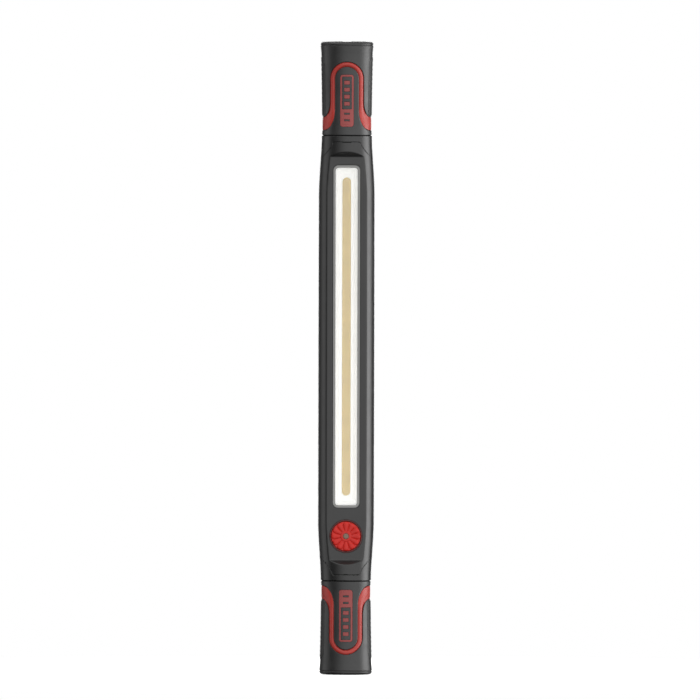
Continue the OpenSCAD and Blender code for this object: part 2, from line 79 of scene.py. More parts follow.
TOTAL = mm_box("top_bumper")[1][2]
BODY_LOW, BODY_HIGH = mm_box("rear_shell")[0][2], mm_box("rear_shell")[1][2]
GRIP_TOP = mm_box("bottom_grip_core")[1][2]
SEAM = (BODY_LOW + GRIP_TOP) / 2
HIGH_SEAM = TOTAL - SEAM
BODY_LEN = HIGH_SEAM - SEAM
BODY_END_R = 16.1
BODY_MID_R = mm_box("rear_shell")[1][0]
BODY_FLARE = 40.0
BULGE = 0.1
WALL = 2.2
FACET_Y = -mm_box("window_bezel")[0][1] - 0.15
FACET_END = 13.5
PARTING_Y = 0.6
TAB_END, TAB_DEPTH, TAB_RUN = 4.1, 13.4, 10.9
STEP_RUN, STEP_RISE = 0.8, 1.0

BEZEL_LOW, BEZEL_HIGH = mm_box("window_bezel")
WINDOW_Z = (BEZEL_LOW[2] + BEZEL_HIGH[2]) / 2
WINDOW_W = BEZEL_HIGH[0] - BEZEL_LOW[0] - 2
WINDOW_LEN = BEZEL_HIGH[2] - BEZEL_LOW[2] - 2
WINDOW_CORNER = 3.4

BUTTON_Z = (mm_box("power_button")[0][2] + mm_box("power_button")[1][2]) / 2
SEAL_R = mm_box("button_seal")[1][0]
HOLE_R = 9.75
BUTTON_R = 9.5
PETALS = 12

BUMPER_R = mm_box("bottom_bumper")[1][0]
BUMPER_H, CORE_FOOT, CAP_BACK = 7.2, 8.2, 9.5
GRIP_END_R, GRIP_WAIST_R, WAIST_H = 16.7, 15.8, 53.0
SLEEVE_IN, CORE_IN = 0.2, 1.5
BAND_W = 3.1
TONGUE = (7.6, 43.9, 3.3)
BACK_TONGUE = (10.6, 43.9, 3.3)
ARCH_EDGE, ARCH_TALLER, REACH_SHARE = 14.9, 5.9, 2.7
BUMPER_TOP_R = 16.5

HOOK_Y, PIVOT_H, HOOK_REACH = 11.5, 11.0, 30.0
HOOK_R, WIRE_R = 6.9, 1.6
HOOK_START, HOOK_ARC = math.radians(-92), math.radians(245)
POCKET_FLOOR = 9.6
SLOT_HALF = 2.6

# the grip's inside: the core's bore and the neck on the spigot, and the ends that close it
CORE_BORE, BORE_BACK, BORE_FOOT = 12.6, 7.6, 13.5
NECK_LOW, NECK_TOP, SPIGOT_HOLE = 52.4, 54.5, 7.5
ACCESS_R, ACCESS_TOP = 9.7, 14
BUMPER_BORE, BUMPER_ROUND, LINE_H = 13.4, 2.0, 2.4
CAP_R, CAP_FACE, MAGNET_POCKET_R, MAGNET_POCKET_TOP = 13.38, 0.5, 8.1, 4.2
END_SCREW_RING, END_SCREW_ANGLES = 11.3, (-90, 30, 150)

# the side pads and the badge
PAD_H, PAD_HALF_W, PAD_HALF_LEN, RIB_PITCH = 34, 8, 24, 3.0
BADGE_H, BAR_PITCH, BLOCK_UP = SEAM - 22.2, 4.5, 10.4

# the back: case screws and the charging port
SCREW_X = 12.1
SCREW_Z = [SEAM + 24, SEAM + 194, HIGH_SEAM - 27]
BOSS_R, SCREW_HOLE_R, SCREW_HOLE_FLOOR = 2.4, 2.15, 8.4
PORT_Z = SEAM + 24
PORT_MIDDLE = PORT_Z + 0.8
PORT_FLOOR = 15.0


# ---------------------------------------------------------------- distance fields

def near_and(a, b, r):
    """Both a and b, with a convex edge of radius r."""
    return np.minimum(np.maximum(a, b), -r) + np.hypot(np.maximum(a + r, 0), np.maximum(b + r, 0))


def near_or(a, b, r):
    """Either a or b, with a concave edge of radius r."""
    return np.maximum(np.minimum(a, b), r) - np.hypot(np.maximum(r - a, 0), np.maximum(r - b, 0))


def minus(a, b, r=0.0):
    """a without b, with a round edge of radius r."""
    return near_and(a, -b, r) if r else np.maximum(a, -b)


def plate(u, v, half_u, half_v, r):
    """A flat rectangle with corners of radius r."""
    qu, qv = np.abs(u) - half_u + r, np.abs(v) - half_v + r
    return np.hypot(np.maximum(qu, 0), np.maximum(qv, 0)) + np.minimum(np.maximum(qu, qv), 0) - r


def smooth(t):
    t = np.clip(t, 0, 1)
    return t * t * (3 - 2 * t)


def body_radius(z):
    s = np.minimum(z - SEAM, HIGH_SEAM - z)
    middle = BODY_MID_R - BULGE - BODY_END_R
    bulge = BULGE * np.sin(np.pi * np.clip((z - SEAM) / BODY_LEN, 0, 1))
    return BODY_END_R + middle * smooth((s + 1.5) / BODY_FLARE) + bulge


def panel_cut(y, z, inset=0.0, r=0.0):
    """The space in front of the flat panel and between its two sloping steps."""
    face = y + FACET_Y - inset
    slope = math.hypot(STEP_RUN, STEP_RISE)
    depth = -(y + FACET_Y)
    low = SEAM + FACET_END - inset / 2
    high = HIGH_SEAM - FACET_END + inset / 2
    step_low = (low - depth * STEP_RUN - z) / slope
    step_high = (z - high - depth * STEP_RUN) / slope
    steps = np.maximum(step_low, step_high)
    return near_and(face, steps, r) if r else np.maximum(face, steps)


def cover_zone(y, z):
    """The front cover's share of the body, whose ends curve back from a tab to the sides."""
    s = np.minimum(z - SEAM, HIGH_SEAM - z)
    along, back = (s - TAB_END) / TAB_RUN, (y - PARTING_Y) / (TAB_DEPTH + PARTING_Y)
    k0 = np.hypot(along, back)
    k1 = np.hypot(along / TAB_RUN, back / (TAB_DEPTH + PARTING_Y))
    nose = k0 * (k0 - 1) / np.maximum(k1, 1e-6)
    nose = -near_and(-nose, TAB_END - s, 1.0)
    return np.maximum(y - PARTING_Y, -nose)


def body_outer(x, y, z):
    rho = np.hypot(x, y)
    ends = np.maximum(BODY_LOW - z, z - BODY_HIGH)
    tube = near_and(rho - body_radius(z), ends, 0.15)
    return near_and(tube, -panel_cut(y, z, 0.0, 0.5), 0.45)


def body_hollow(x, y, z):
    return np.maximum(np.hypot(x, y) - body_radius(z) + WALL, -panel_cut(y, z, WALL))


def front_cover_field(x, y, z):
    shell = minus(body_outer(x, y, z), body_hollow(x, y, z))
    cover = near_and(shell, cover_zone(y, z) + 0.04, 0.12)
    window = np.maximum(plate(x, z - WINDOW_Z, WINDOW_W / 2 + 0.05, WINDOW_LEN / 2 + 0.05, WINDOW_CORNER), y)
    ring = np.hypot(x, z - BUTTON_Z)
    button = np.minimum(np.maximum(ring - HOLE_R, y), np.maximum(ring - SEAL_R - 0.02, y + FACET_Y - 0.7))
    return minus(minus(cover, window, 0.22), button, 0.22)


def rear_shell_field(x, y, z):
    shell = minus(body_outer(x, y, z), body_hollow(x, y, z))
    rear = minus(shell, cover_zone(y, z) - 0.04, 0.12)
    pad = np.maximum(plate(x, z - PORT_MIDDLE, 9, 9.4, 1), 12.6 - y)
    rear = np.minimum(rear, np.maximum(pad, body_outer(x, y, z) + 0.3))
    for level in SCREW_Z:
        hole = np.hypot(np.abs(x) - SCREW_X, z - level)
        boss = np.maximum(np.maximum(hole - BOSS_R, PARTING_Y - y), body_outer(x, y, z) + 0.3)
        rear = np.minimum(rear, boss)
        rear = minus(rear, np.maximum(hole - SCREW_HOLE_R, SCREW_HOLE_FLOOR - y), 0.25)
    recess = np.maximum(plate(x, z - PORT_MIDDLE, 7.3, 7.6, 1.5), PORT_FLOOR - y)
    rear = minus(rear, recess, 0.3)
    return minus(rear, np.maximum(plate(x, z - PORT_Z, 4.8, 1.9, 1.8), 12 - y), 0.15)


# ---------------------------------------------------------------- fields of a grip, from its end face

def grip_radius(h):
    taper = np.clip((h - BUMPER_H) / (WAIST_H - BUMPER_H), 0, 1) ** 0.8
    below = GRIP_END_R - (GRIP_END_R - GRIP_WAIST_R) * taper
    rise = (BODY_END_R - GRIP_WAIST_R) * smooth((h - WAIST_H) / (SEAM - WAIST_H))
    return below + rise


def arch(x, h, half, top, reach):
    """The area of an arch whose legs stand half apart and turn out to the sides at the seam."""
    middle = SEAM - top + half
    legs = np.where(h < middle, np.hypot(x, h - middle), np.abs(x)) - half
    wide = ARCH_EDGE - half
    tall = wide + ARCH_TALLER
    return near_or(legs / wide, (SEAM - reach - h) / tall, 1.0) * wide


def collar_zone(x, y, h, more=0.0):
    front = arch(x, h, TONGUE[0] + more, TONGUE[1] + more, TONGUE[2] + REACH_SHARE * more)
    back = arch(x, h, BACK_TONGUE[0] + more, BACK_TONGUE[1] + more, BACK_TONGUE[2] + REACH_SHARE * more)
    return np.where(y < 0, front, back)


def hook_pocket(x, y, h, grow=0.0):
    middle = PIVOT_H + HOOK_REACH
    bend = np.hypot(x, h - middle) - HOOK_R - WIRE_R - 0.6 - grow
    slot = np.maximum(np.abs(x) - SLOT_HALF - grow, h - middle)
    pocket = np.maximum(np.minimum(bend, slot), POCKET_FLOOR - grow - y)
    barrel = np.maximum(np.hypot(y - HOOK_Y, h - PIVOT_H) - 2.8 - grow, np.abs(x) - SLOT_HALF - grow)
    return np.minimum(pocket, barrel)


def grip_layer(x, y, h, outer, inner, bottom=BUMPER_H - 1.0):
    """The rubber's skin and its layer, which reach a little way under the bumper's edge."""
    rho, r = np.hypot(x, y), grip_radius(h)
    skin = np.maximum(near_and(rho - r + outer, h - GRIP_TOP, 0.15), bottom - h)
    return skin, np.maximum(skin, r - inner - rho)


def sleeve_field(x, y, h):
    skin, layer = grip_layer(x, y, h, SLEEVE_IN, CORE_IN)
    zone = collar_zone(x, y, h, BAND_W)
    cut = near_and(near_and(skin, -zone, 0.45), -hook_pocket(x, y, h), 0.4)
    return np.maximum(cut, layer)


def badge_marks(x, h, grow=0.0):
    """A plain frame with a slotted block at the seam's end and a row of four bars."""
    v = h - BADGE_H
    outline = minus(plate(x, v, 4.3 + grow, 16.6 + grow, 1.6), plate(x, v, 3.1 - grow, 15.4 - grow, 0.6))
    slots = plate(x, np.abs(v - BLOCK_UP) - 2.1, 1.8 - grow, 0.6 - grow, 0.2)
    block = minus(plate(x, v - BLOCK_UP, 3.2 + grow, 5 + grow, 0.3), slots)
    row = (v + 4.85) / BAR_PITCH
    near = BAR_PITCH * (row - np.clip(np.round(row - 0.5) + 0.5, -1.5, 1.5))
    return np.minimum(np.minimum(outline, block), plate(x, near, 1.8 + grow, 1.2 + grow, 0.3))


def collar_field(x, y, h):
    skin, layer = grip_layer(x, y, h, SLEEVE_IN, CORE_IN)
    cut = near_and(near_and(skin, collar_zone(x, y, h), 0.5), -hook_pocket(x, y, h), 0.4)
    inlay = np.maximum(badge_marks(x, h, 0.04), grip_radius(h) - 0.8 - np.hypot(x, y))
    inlay = np.maximum(inlay, y)
    return minus(np.maximum(cut, layer), inlay, 0.12)


def badge_field(x, y, h):
    rho, r = np.hypot(x, y), grip_radius(h)
    face = near_and(rho - r + 0.24, badge_marks(x, h), 0.12)
    return np.maximum(np.maximum(face, r - 0.8 - rho), y)


def core_field(x, y, h):
    rho, r = np.hypot(x, y), grip_radius(h)
    ends = np.maximum(CORE_FOOT - h, h - GRIP_TOP + 0.5)
    tube = np.maximum(rho - r + CORE_IN, ends)
    out = collar_zone(x, y, h)
    leg = smooth((GRIP_TOP - 11 - h) / 9)
    bead = np.clip(np.abs(out - BAND_W * 0.55) / (BAND_W * 0.55), 0, 1.2) ** 2
    depth = 0.18 + 0.22 * leg + (0.25 + 0.65 * leg) * bead
    band = np.maximum(np.maximum(rho - r + depth, ends), np.maximum(collar_zone(x, y, h, BAND_W), -out))
    core = minus(near_or(tube, band, 0.3), hook_pocket(x, y, h), 0.3)
    hollow = np.maximum(np.maximum(rho - CORE_BORE, y - BORE_BACK), np.maximum(BORE_FOOT - h, h - NECK_LOW))
    hollow = np.minimum(hollow, np.maximum(rho - CORE_BORE, np.maximum(NECK_LOW - h, h - NECK_TOP)))
    access = np.maximum(np.maximum(rho - ACCESS_R, y - BORE_BACK), h - ACCESS_TOP)
    return minus(core, np.minimum(np.minimum(hollow, access), rho - SPIGOT_HOLE))


def pads_field(x, y, h):
    rho, r = np.hypot(x, y), grip_radius(h)
    area = plate(y, h - PAD_H, PAD_HALF_W, PAD_HALF_LEN, 5)
    area = np.maximum(area, -collar_zone(x, y, h, BAND_W + 0.4))
    ribs = 0.5 - 0.5 * np.cos(2 * np.pi * (h - 12) / RIB_PITCH)
    fade = smooth((-area - 0.8) / 1.2)
    top = rho - r - 0.05 + 0.12 * ribs * fade
    skin = near_and(near_and(top, area, 0.22), np.maximum(9.2 - h, h - 52), 0.2)
    return np.maximum(np.maximum(skin, r - SLEEVE_IN - 0.1 - rho), 5 - np.abs(x))


def bumper_field(x, y, h):
    rho = np.hypot(x, y)
    taper = (BUMPER_R - BUMPER_TOP_R) * np.maximum((h - 3) / (BUMPER_H - 3), 0)
    body = np.maximum(near_and(rho - BUMPER_R + taper, -h, BUMPER_ROUND), h - BUMPER_H - 0.8)
    groove = np.hypot(rho - BUMPER_R - 0.05, h - LINE_H) - 0.36
    body = np.maximum(minus(body, groove, 0.06), BUMPER_BORE - rho)
    behind = np.maximum(np.maximum(rho - BUMPER_BORE - 0.1, CAP_BACK - y), np.maximum(CAP_FACE - h, h - BUMPER_H))
    return minus(np.minimum(body, behind), hook_pocket(x, y, h), 0.5)


def end_screw_distance(x, y):
    nearest = None
    for angle in END_SCREW_ANGLES:
        a = math.radians(angle)
        d = np.hypot(x - END_SCREW_RING * math.cos(a), y - END_SCREW_RING * math.sin(a))
        nearest = d if nearest is None else np.minimum(nearest, d)
    return nearest


def end_cap_field(x, y, h):
    rho = np.hypot(x, y)
    edge = near_and(rho - CAP_R, y - CAP_BACK, 0.3)
    disc = np.maximum(near_and(edge, CAP_FACE - h, 0.4), h - CORE_FOOT)
    pocket = np.maximum(rho - MAGNET_POCKET_R, h - MAGNET_POCKET_TOP)
    screws = end_screw_distance(x, y)
    holes = np.minimum(np.maximum(screws - 1.85, h - 2.6), screws - 1.2)
    ridge = np.hypot(rho - 9.6, h - 0.4) - 0.35
    disc = minus(minus(disc, ridge, 0.1), pocket, 0.25)
    return minus(disc, holes, 0.2)


def hook_field(x, y, h):
    middle = PIVOT_H + HOOK_REACH
    u, v = x, h - middle
    half = HOOK_ARC / 2
    turn = HOOK_START + half
    along = u * math.cos(turn) + v * math.sin(turn)
    across = np.abs(v * math.cos(turn) - u * math.sin(turn))
    end_a, end_b = HOOK_R * math.cos(half), HOOK_R * math.sin(half)
    inside = along * math.sin(half) - across * math.cos(half) > 0
    inside = np.where(half > math.pi / 2, (along > 0) | (across * math.cos(half) < along * math.sin(half)), inside)
    on_arc = np.abs(np.hypot(u, v) - HOOK_R)
    past = np.hypot(along - end_a, across - end_b)
    bend = np.hypot(np.where(inside, on_arc, past), y - HOOK_Y) - WIRE_R
    reach = np.clip(h, PIVOT_H, middle - HOOK_R)
    shank = np.sqrt(x ** 2 + (y - HOOK_Y) ** 2 + (h - reach) ** 2) - WIRE_R
    barrel = near_and(np.hypot(y - HOOK_Y, h - PIVOT_H) - 2.3, np.abs(x) - 2.3, 0.3)
    wire = near_or(near_or(bend, shank, 0.5), barrel, 0.8)
    wire = np.maximum(wire, np.where(h < PIVOT_H + 3, np.abs(x) - 2.3, -1.0))
    return np.maximum(wire, 1.27 - np.hypot(y - HOOK_Y, h - PIVOT_H))


def port_cover_field(x, y, z):
    outer = body_outer(x, y, z) + 0.05
    flap = near_and(np.maximum(outer, PORT_FLOOR + 0.15 - y), plate(x, z - PORT_Z + 0.5, 7, 5.9, 1.3), 0.35)
    grip = np.hypot(y - body_radius(z) * 0.985, z - PORT_Z + 4.4) - 0.75
    flap = minus(flap, np.maximum(grip, np.abs(x) - 4.5), 0.25)
    plug = near_and(plate(x, z - PORT_Z, 3.8, 1.0, 0.9), 14.75 - y, 0.2)
    flap = np.minimum(flap, np.maximum(plug, y - PORT_FLOOR - 1))
    bead = np.hypot(y - 16.4, z - PORT_Z - 7) - 0.8
    web = plate(y - 16.3, z - PORT_Z - 6, 0.3, 1.4, 0.1)
    return near_or(flap, np.maximum(np.minimum(bead, web), np.abs(x) - 5), 0.3)


# ---------------------------------------------------------------- from fields to meshes

BLOCK = 8
CHUNK = 3000


def sample_field(field, low, counts, voxel):
    """The field on a grid of blocks, worked out only in blocks near its surface."""
    nx, ny, nz = counts
    span = voxel * BLOCK
    at = [low[i] + span * (np.arange(n) + 0.5) for i, n in enumerate(counts)]
    cx, cy, cz = np.meshgrid(*at, indexing="ij")
    middle = field(cx.astype(np.float32), cy.astype(np.float32), cz.astype(np.float32))
    band = 3.0 * voxel
    grid = np.empty((nx, BLOCK, ny, BLOCK, nz, BLOCK), np.float32)
    grid[:] = np.where(middle < 0, -band, band)[:, None, :, None, :, None]
    near = np.argwhere(np.abs(middle) < span * 1.15 + 2 * voxel)
    step = voxel * (np.arange(BLOCK) + 0.5)
    blocks = grid.transpose(0, 2, 4, 1, 3, 5)
    for first in range(0, len(near), CHUNK):
        ijk = near[first:first + CHUNK]
        corner = low + ijk * span
        x = (corner[:, 0, None, None, None] + step[:, None, None]).astype(np.float32)
        y = (corner[:, 1, None, None, None] + step[None, :, None]).astype(np.float32)
        z = (corner[:, 2, None, None, None] + step[None, None, :]).astype(np.float32)
        x, y, z = np.broadcast_arrays(x, y, z)
        blocks[ijk[:, 0], ijk[:, 1], ijk[:, 2]] = np.clip(field(x, y, z), -band, band)
    return grid.reshape(nx * BLOCK, ny * BLOCK, nz * BLOCK) / voxel


def slope_of(field, p, h=0.02):
    """The field's gradient at points p."""
    out = np.empty_like(p)
    for axis in range(3):
        d = np.zeros(3)
        d[axis] = h
        out[:, axis] = (field(*(p + d).T) - field(*(p - d).T)) / (2 * h)
    return out


def settle(field, p, voxel):
    """Moves points p onto the field's surface, and gives their normals."""
    for _ in range(3):
        g = slope_of(field, p)
        step = field(*p.T)[:, None] * g / np.maximum((g * g).sum(1), 0.05)[:, None]
        length = np.linalg.norm(step, axis=1, keepdims=True)
        p = p - step * np.minimum(1, 0.4 * voxel / np.maximum(length, 1e-9))
    g = slope_of(field, p, 0.04)
    return p, g / np.maximum(np.linalg.norm(g, axis=1, keepdims=True), 1e-9)


def field_mesh(field, low, high, voxel, adaptivity=0.0):
    """A closed mesh, in metres, of the surface of a field over a box in mm."""
    low, high = np.array(low, float) - 2 * voxel, np.array(high, float) + 2 * voxel
    counts = np.ceil((high - low) / (voxel * BLOCK)).astype(int)
    grid = vdb.FloatGrid(3.0)
    grid.copyFromArray(sample_field(field, low, counts, voxel))
    points, triangles, quads = grid.convertToPolygons(isovalue=0.0, adaptivity=adaptivity)
    points = low + (points.astype(float) + 0.5) * voxel
    points, normals = settle(field, points, voxel)
    return points, normals, [tuple(q) for q in quads] + [tuple(t) for t in triangles]


def add_mesh(name, points, faces, normals=None):
    """A Blender object from points in mm."""
    mesh = bpy.data.meshes.new(name)
    mesh.from_pydata((np.asarray(points) * MM).tolist(), [], faces)
    mesh.validate()
    mesh.update()
    mesh.shade_smooth()
    if normals is not None:
        mesh.normals_split_custom_set_from_vertices(normals.tolist())
    obj = bpy.data.objects.new(name, mesh)
    bpy.context.scene.collection.objects.link(obj)
    return obj


def loft(rings, closed=False):
    """A mesh through round-cornered rectangles, each given as (half_x, half_z, corner radius, y)."""
    corner = 10
    points, n = [], 4 * (corner + 1)
    for half_x, half_z, r, y in rings:
        for quarter, (sx, sz) in enumerate(((1, 1), (-1, 1), (-1, -1), (1, -1))):
            for i in range(corner + 1):
                a = math.pi / 2 * (quarter + i / corner)
                points.append((sx * (half_x - r) + r * math.cos(a), y, sz * (half_z - r) + r * math.sin(a)))
    faces = []
    count = len(rings)
    for k in range(count if closed else count - 1):
        low, high = k * n, (k + 1) % count * n
        faces += [(low + i, low + (i + 1) % n, high + (i + 1) % n, high + i) for i in range(n)]
    if not closed:
        faces.append(tuple(range(n))[::-1])
        faces.append(tuple((count - 1) * n + i for i in range(n)))
    return points, faces


def part(node, points, faces, material, normals=None, shift=(0, 0, 0), bevel=0.0):
    """A finished piece that stands for a CAD node and rides on its body."""
    shape = frame["nodes"][node]
    piece = add_mesh(node + "_piece", np.asarray(points, float) + np.array(shift), faces, normals)
    if normals is None:
        tidy_solid(piece, bevel)
    piece.data.materials.append(material)
    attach(piece, shape["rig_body"])
    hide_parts(node)
    return piece


def tidy_solid(piece, bevel):
    """Turns faces outward, then rounds the sharp edges."""
    work = bmesh.new()
    work.from_mesh(piece.data)
    bmesh.ops.remove_doubles(work, verts=work.verts, dist=1e-6)
    bmesh.ops.recalc_face_normals(work, faces=work.faces)
    work.to_mesh(piece.data)
    work.free()
    if bevel:
        round_edges(piece, bevel)


def round_edges(piece, width, segments=3):
    modifier = piece.modifiers.new("edges", "BEVEL")
    modifier.width = width * MM
    modifier.segments = segments
    modifier.limit_method = "ANGLE"
    modifier.angle_limit = math.radians(35)
    modifier.harden_normals = True


# ---------------------------------------------------------------- materials

def srgb(code):
    """A hex colour as linear values."""
    parts = [int(code[i:i + 2], 16) / 255 for i in (0, 2, 4)]
    return [c / 12.92 if c < 0.04045 else ((c + 0.055) / 1.055) ** 2.4 for c in parts]


class Nodes:
    """Short names for building a node tree."""

    def __init__(self, tree):
        self.tree = tree

    def add(self, kind, **inputs):
        node = self.tree.nodes.new(kind)
        for key, value in inputs.items():
            if key.startswith("set_"):
                setattr(node, key[4:], value)
                continue
            name = int(key[1:]) if key[0] == "i" and key[1:].isdigit() else key.replace("_", " ")
            socket = node.inputs[name]
            if isinstance(value, bpy.types.NodeSocket):
                self.tree.links.new(value, socket)
            else:
                socket.default_value = value
        return node

    def math(self, operation, a, b=0.0, c=0.0):
        return self.add("ShaderNodeMath", set_operation=operation, i0=a, i1=b, i2=c).outputs[0]

    def spread(self, value, low, high, start=0.35, end=0.65):
        return self.add("ShaderNodeMapRange", Value=value, From_Min=start, From_Max=end,
                        To_Min=low, To_Max=high).outputs[0]

    def noise(self, place, scale, detail=2.0, rough=0.5):
        return self.add("ShaderNodeTexNoise", Vector=place, Scale=scale, Detail=detail, Roughness=rough).outputs[0]


def finish(name, colour, rough, grain=(2600, 0.004), vary=0.1, rough_vary=0.05, metal=0.0, specular=0.5,
           blotch=45, extra=None, **sockets):
    """A moulded, painted or metal surface: slow changes of tone and gloss, with a grain (scale, depth in mm)."""
    material = bpy.data.materials.new(name)
    material.use_nodes = True
    tree = material.node_tree
    tree.nodes.clear()
    n = Nodes(tree)
    place = n.add("ShaderNodeTexCoord").outputs["Object"]
    slow = n.noise(place, blotch, 3.0)
    base = srgb(colour)
    dark = [c * (1 - vary) for c in base] + [1]
    light = [min(1, c * (1 + vary)) for c in base] + [1]
    tone = n.add("ShaderNodeMix", set_data_type="RGBA", i0=n.spread(slow, 0, 1), i6=dark, i7=light).outputs[2]
    if extra:
        tone = extra(n, place, tone)
    fine = n.noise(place, grain[0], 2.0, 0.6)
    uneven = n.noise(place, blotch * 4, 4.0)
    gloss = n.spread(uneven, rough - rough_vary, rough + rough_vary)
    bump = n.add("ShaderNodeBump", Height=fine, Distance=grain[1] * MM, Strength=1.0).outputs[0]
    shader = n.add("ShaderNodeBsdfPrincipled", Base_Color=tone, Roughness=gloss, Metallic=metal, Normal=bump,
                   Specular_IOR_Level=specular, **sockets)
    n.add("ShaderNodeOutputMaterial", Surface=shader.outputs[0])
    return material


def strip_pitch(n, place, tone):
    """The chips' faint rows under the phosphor, every 2.4 mm."""
    z = n.add("ShaderNodeSeparateXYZ", Vector=place).outputs[2]
    wave = n.math("COSINE", n.math("MULTIPLY", z, 2 * math.pi / 0.0024))
    deeper = n.spread(wave, 0.0, 0.16, -1, 1)
    return n.add("ShaderNodeMix", set_data_type="RGBA", set_blend_type="MULTIPLY", i0=deeper, i6=tone,
                 i7=(0.93, 0.86, 0.70, 1)).outputs[2]


def brushed(n, place, tone):
    """Fine streaks along a drawn wire or a turned face."""
    stretched = n.add("ShaderNodeMapping", Vector=place, Scale=(1, 1, 0.06)).outputs[0]
    streak = n.noise(stretched, 5200, 3.0)
    return n.add("ShaderNodeMix", set_data_type="RGBA", i0=n.spread(streak, 0, 0.35), i6=tone,
                 i7=(0.22, 0.22, 0.23, 1)).outputs[2]


SHELL = finish("shell plastic", "202020", 0.31, grain=(2400, 0.004), rough_vary=0.03)
BEZEL = finish("bezel plastic", "848482", 0.42, vary=0.05)
LENS = finish("clear lens", "ffffff", 0.05, grain=(900, 0.0005), vary=0.0, rough_vary=0.02,
              Transmission_Weight=1.0, IOR=1.49)
# The tray's emission is a painted glow: it lifts the white tray so that its own shading washes out, though the tray
# is no lamp.
TRAY_PAINTED_GLOW = finish("white tray with painted glow", "fbfbf8", 0.5, vary=0.02, Emission_Color=(1, 1, 0.98, 1), Emission_Strength=0.22)
PHOSPHOR = finish("phosphor", "ecd49a", 0.45, grain=(1800, 0.006), vary=0.04, blotch=90, extra=strip_pitch,
                  Subsurface_Weight=0.15, Subsurface_Radius=(0.001, 0.0007, 0.0003), Subsurface_Scale=0.5)
BUTTON_RED = finish("button rubber", "bd221a", 0.4, grain=(3000, 0.003), vary=0.06, specular=0.25,
                    Coat_Weight=0.06, Coat_Roughness=0.15)
# The seal is the button's red darkened to a deep red-brown: painted shade, standing for the button's rim in shadow.
SEAL_RED_PAINTED_SHADE = finish("seal rubber, red darkened as painted shade", "56201f", 0.55, vary=0.1)
PIPE = finish("smoky light pipe", "8a6a58", 0.2, vary=0.1, Transmission_Weight=0.3, IOR=1.49)
BAND_RED = finish("red core plastic", "a6322b", 0.42, grain=(2600, 0.004), vary=0.06, specular=0.4)
BADGE_RED = finish("badge red", "8e3b39", 0.5, vary=0.08)
RUBBER = finish("grip rubber", "282828", 0.38, grain=(1500, 0.008), vary=0.12, rough_vary=0.05)
PAD_RUBBER = finish("pad rubber", "252525", 0.44, grain=(1200, 0.012), vary=0.12)
BUMPER = finish("bumper rubber", "282828", 0.38, grain=(1500, 0.008), vary=0.12)
STEEL = finish("steel", "b9bbbd", 0.28, metal=1.0, vary=0.08, grain=(4000, 0.002), extra=brushed)
BLACK_STEEL = finish("blackened steel", "3a3b3d", 0.38, metal=1.0, vary=0.15)
NICKEL = finish("nickel plate", "c9c6bd", 0.22, metal=1.0, vary=0.06)
BOARD = finish("circuit board", "1d5a34", 0.42, vary=0.15, blotch=160)
WHITE_BOARD = finish("white light board", "ecece8", 0.45, vary=0.03)
CHIP = finish("chip resin", "17181a", 0.5, vary=0.15)
COPPER = finish("coil winding", "9c5a30", 0.35, metal=0.6, vary=0.2, blotch=600)
SWITCH = finish("switch plastic", "232427", 0.45, vary=0.12)
LED = finish("indicator lens", "e6ead6", 0.15, vary=0.04, Transmission_Weight=0.5)
CELL = finish("cell wrap", "2b8c86", 0.25, vary=0.06)
CRADLE = finish("cradle plastic", "1c1c1e", 0.5, vary=0.1)
RED_WIRE = finish("red wire", "b8201c", 0.4, vary=0.1)
BLACK_WIRE = finish("black wire", "161616", 0.4, vary=0.1)
PORT_RUBBER = finish("port cover rubber", "262626", 0.6, grain=(1400, 0.012), vary=0.1)
PIVOT = finish("pivot plastic", "2a2b2c", 0.42, vary=0.1)
# The thrust ring is black acetal, pushed to near-black with little specular so that the seam in front of it reads as
# a dark line: its own black plus painted shade for the gap.
ACETAL_PAINTED_SEAM_SHADE = finish("thrust ring acetal, darkened as painted seam shade", "080808", 0.6, vary=0.05, specular=0.1)
MAGNET = finish("magnet face", "8d8f92", 0.3, metal=1.0, vary=0.1, blotch=120)

BY_SLOT = {
    "shell": SHELL, "bezel": BEZEL, "lens": LENS, "tray": TRAY_PAINTED_GLOW, "led_board": WHITE_BOARD, "phosphor": PHOSPHOR,
    "heat_sink": NICKEL, "steel": STEEL, "black_steel": BLACK_STEEL, "circuit_board": BOARD, "chip": CHIP,
    "coil": COPPER, "switch": SWITCH, "button": BUTTON_RED, "button_seal": SEAL_RED_PAINTED_SHADE, "light_pipe": PIPE, "led": LED,
    "cell": CELL, "cradle": CRADLE, "nickel": NICKEL, "red_wire": RED_WIRE, "black_wire": BLACK_WIRE,
    "port_rubber": PORT_RUBBER, "pivot_plastic": PIVOT, "thrust_plastic": ACETAL_PAINTED_SEAM_SHADE, "grip_red": BAND_RED,
    "grip_rubber": RUBBER, "badge_red": BADGE_RED, "bumper_rubber": BUMPER, "magnet": MAGNET}


# ---------------------------------------------------------------- the body's pieces

SLOTS = {part["node"]: part["material_slot"] for part in frame["record"]["subparts"]}


def add_field(node, material, field, low, high, voxel, adaptivity=0.0):
    points, normals, faces = field_mesh(field, low, high, voxel, adaptivity)
    return part(node, points, faces, material, normals)


add_field("front_cover", SHELL, front_cover_field, (-18.2, -18.2, BODY_LOW), (18.2, 1, BODY_HIGH), 0.36, 0.02)
add_field("rear_shell", SHELL, rear_shell_field, (-18.2, -17.5, BODY_LOW), (18.2, 18.2, BODY_HIGH), 0.36, 0.02)
add_field("port_cover", PORT_RUBBER, port_cover_field, (-7.5, 13.5, PORT_Z - 7), (7.5, 18.4, PORT_Z + 9), 0.16)

LENS_X, LENS_Z = WINDOW_W / 2 - 1.5, WINDOW_LEN / 2 - 1.6
BOARD_Y, TRAY_Y, INNER_Y = FACET_Y - 4.4, FACET_Y - 3.2, FACET_Y - WALL
STRIP_LOW, STRIP_HIGH = mm_box("led_strip")
STRIP_X, STRIP_Z = STRIP_HIGH[0], (STRIP_HIGH[2] - STRIP_LOW[2]) / 2
MIDDLE = (0, 0, WINDOW_Z)

